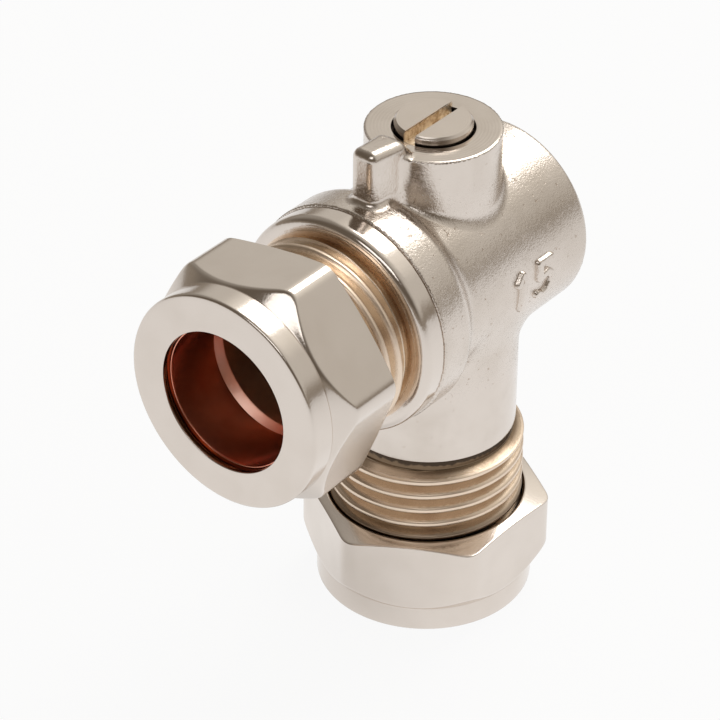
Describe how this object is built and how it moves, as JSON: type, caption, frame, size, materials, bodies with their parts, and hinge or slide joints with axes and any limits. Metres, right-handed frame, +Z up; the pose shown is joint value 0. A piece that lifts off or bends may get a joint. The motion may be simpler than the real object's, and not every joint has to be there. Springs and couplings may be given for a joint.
{
  "type": "angled isolating valve",
  "caption": "Angled compression isolating valve for 15 mm pipe: forged body with a ball inside, turned by a slotted stem, and a hexagon nut with a copper olive on each port.",
  "frame": {"origin": "centre of the outlet nut's end face, where the outlet pipe goes in", "axes": "+Z up along the outlet and stem axis, with the outlet looking along -Z and the inlet along -Y"},
  "size_m": [0.027, 0.047, 0.0585],
  "materials": {
    "forged_plate": "nickel-plated forging",
    "turned_plate": "nickel-plated, turned",
    "stem_metal": "nickel-plated, turned",
    "ball_metal": "polished plating",
    "copper": "bright copper",
    "ptfe": "white PTFE",
    "rubber": "black rubber"
  },
  "bodies": {
    "valve": {"valve_body": "forged_plate", "end_connector": "turned_plate", "front_seat": "ptfe", "rear_seat": "ptfe", "stem_thrust_washer": "ptfe"},
    "spindle": {"stem": "stem_metal", "ball": "ball_metal", "stem_o_ring_lower": "rubber", "stem_o_ring_upper": "rubber"},
    "inlet_ring": {"inlet_olive": "copper"},
    "inlet_cap": {"inlet_nut": "turned_plate"},
    "outlet_ring": {"outlet_olive": "copper"},
    "outlet_cap": {"outlet_nut": "turned_plate"}
  },
  "joints": [
    {"name": "stem_turn", "type": "hinge", "parent": "valve", "child": "spindle", "pos_m": [0, 0, 0.04006], "axis": [0, 0, 1], "continuous": true},
    {"name": "inlet_nut_travel", "type": "slide", "parent": "valve", "child": "inlet_ring", "axis": [0, -1, 0], "range_m": [0, 0.00363]},
    {"name": "inlet_nut_turn", "type": "hinge", "parent": "inlet_ring", "child": "inlet_cap", "pos_m": [0, -0.0335, 0.04006], "axis": [0, -1, 0], "range_deg": [0, 720]},
    {"name": "outlet_nut_travel", "type": "slide", "parent": "valve", "child": "outlet_ring", "axis": [0, 0, -1], "range_m": [0, 0.00363]},
    {"name": "outlet_nut_turn", "type": "hinge", "parent": "outlet_ring", "child": "outlet_cap", "pos_m": [0, 0, 0], "axis": [0, 0, -1], "range_deg": [0, 720]}
  ],
  "couplings": [
    {"joint": "inlet_nut_travel", "follows": "inlet_nut_turn", "m_per_rad": 0.00028871},
    {"joint": "outlet_nut_travel", "follows": "outlet_nut_turn", "m_per_rad": 0.00028871}
  ]
}
